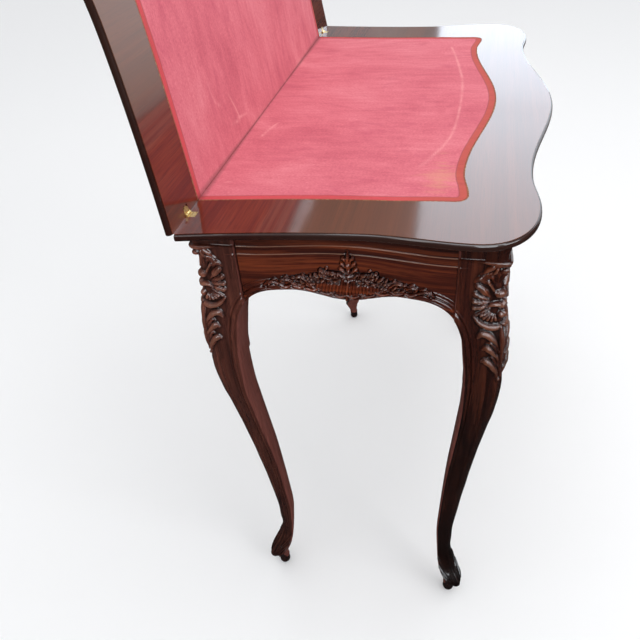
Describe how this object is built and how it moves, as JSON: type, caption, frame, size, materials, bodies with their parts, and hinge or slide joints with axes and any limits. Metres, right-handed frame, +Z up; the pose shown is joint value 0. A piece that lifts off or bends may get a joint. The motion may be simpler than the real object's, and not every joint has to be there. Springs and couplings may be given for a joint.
{
  "type": "console game table",
  "caption": "Wall table on cabriole legs with a bowed, baize-lined folding top that opens onto a sliding back frame.",
  "frame": {"origin": "on the floor, under the middle of the object's box with the folding leaf raised", "axes": "X along the table, -Y toward the bowed front, +Z up"},
  "size_m": [0.848, 0.4996, 1.189],
  "materials": {
    "top_wood": "french polished rosewood, glossy",
    "carved_wood": "french polished carved rosewood, dark",
    "inner_wood": "bare planed secondary wood",
    "baize": "worn wool cloth",
    "brass": "polished, slightly worn",
    "iron": "dark steel"
  },
  "bodies": {
    "table": {"top_leaf": "top_wood", "top_baize": "baize", "front_apron": "carved_wood", "left_apron": "carved_wood", "right_apron": "carved_wood", "front_leg_left": "carved_wood", "front_leg_right": "carved_wood", "front_foot_pads": "carved_wood", "inner_rail": "inner_wood", "guide_left": "inner_wood", "guide_right": "inner_wood", "glue_blocks": "inner_wood", "top_screws": "iron", "hinge_plates_top": "brass", "hinge_pins": "brass", "hinge_screws_top": "brass"},
    "lid": {"lid_leaf": "top_wood", "lid_baize": "baize", "hinge_plates_lid": "brass", "hinge_screws_lid": "brass"},
    "back_frame": {"back_apron": "carved_wood", "back_leg_left": "carved_wood", "back_leg_right": "carved_wood", "back_foot_pads": "carved_wood", "bearer_left": "inner_wood", "bearer_right": "inner_wood", "bearer_tie": "inner_wood"}
  },
  "joints": [
    {"name": "lid_fold", "type": "hinge", "parent": "table", "child": "lid", "pos_m": [0, 0.18333, 0.76025], "axis": [-1, 0, 0], "range_deg": [-97.5, 82.5]},
    {"name": "back_slide", "type": "slide", "parent": "table", "child": "back_frame", "axis": [0, 1, 0], "range_m": [0, 0.232]}
  ]
}
